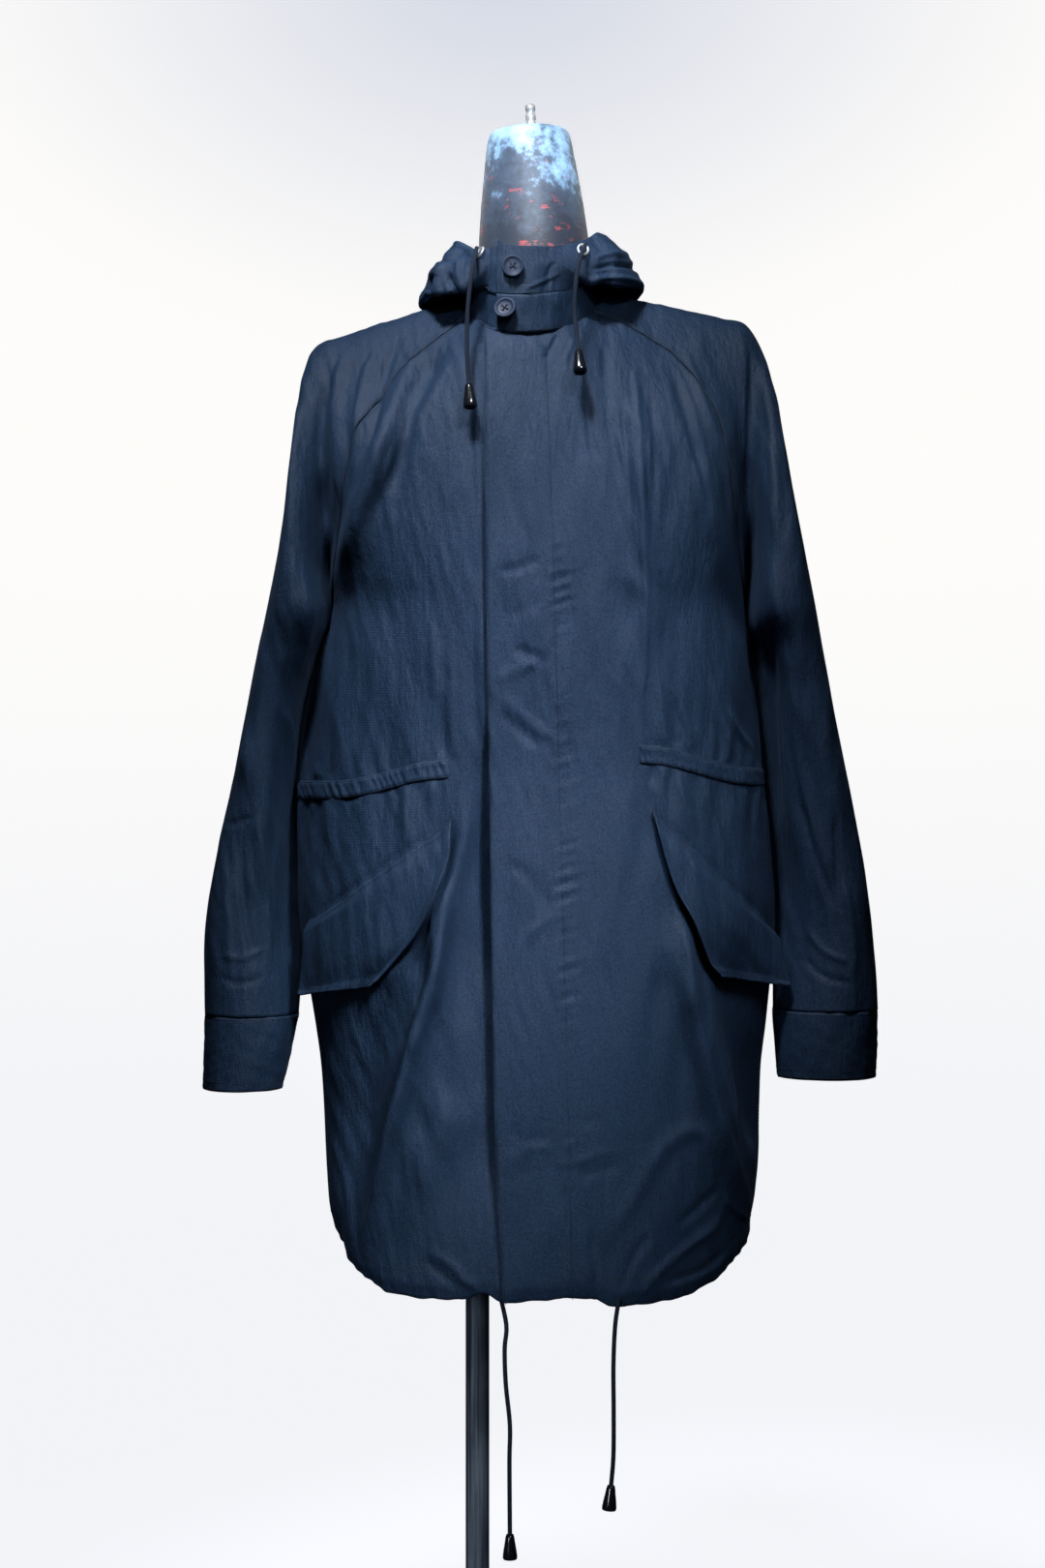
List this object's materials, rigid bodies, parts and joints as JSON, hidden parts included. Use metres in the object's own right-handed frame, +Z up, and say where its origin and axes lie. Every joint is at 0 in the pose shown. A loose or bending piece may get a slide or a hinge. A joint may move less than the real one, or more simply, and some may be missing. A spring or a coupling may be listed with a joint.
{
  "type": "hooded windbreaker on a limbless dress form with a pole stand",
  "caption": "Long hooded windbreaker with raglan sleeves, a buttoned collar, a storm fly, a waist drawcord channel and slanted pocket flaps, worn by a limbless form on a pole.",
  "frame": {"origin": "centre of the round base's underside, on the pole's axis, on the floor", "axes": "+Z up along the pole, -Y to the garment's front, +X to the wearer's left"},
  "size_m": [0.6216, 0.3488, 1.611],
  "materials": {
    "shell_cloth": "tightly woven navy cloth with a slight sheen",
    "button": "dark navy plastic, lightly polished",
    "bright_metal": "polished bright metal",
    "cord": "braided navy cord",
    "cord_end": "glossy black plastic",
    "form_cover": "plain dark grey jersey over the torso",
    "neck_print": "printed cover in mottled pale blue and slate",
    "stand_metal": "black paint, scratched on the pole"
  },
  "bodies": {
    "root": {"back": "shell_cloth", "front_left": "shell_cloth", "front_right": "shell_cloth", "sleeve_front_left": "shell_cloth", "sleeve_back_left": "shell_cloth", "sleeve_front_right": "shell_cloth", "sleeve_back_right": "shell_cloth", "cuff_left": "shell_cloth", "cuff_right": "shell_cloth", "neckband": "shell_cloth", "hood_left": "shell_cloth", "hood_right": "shell_cloth", "storm_fly": "shell_cloth", "waist_channel_left": "shell_cloth", "waist_channel_right": "shell_cloth", "waist_channel_back": "shell_cloth", "pocket_flap_left": "shell_cloth", "pocket_flap_right": "shell_cloth", "collar_button_top": "button", "collar_button_bottom": "button", "eyelet_left": "bright_metal", "eyelet_right": "bright_metal", "hood_cord_left": "cord", "hood_cord_right": "cord", "hem_cord_left": "cord", "hem_cord_right": "cord", "hood_cord_end_left": "cord_end", "hood_cord_end_right": "cord_end", "hem_cord_end_left": "cord_end", "hem_cord_end_right": "cord_end", "form_torso": "form_cover", "form_neck": "neck_print", "form_knob": "bright_metal", "stand_pole": "stand_metal", "stand_base": "stand_metal"}
  },
  "joints": []
}
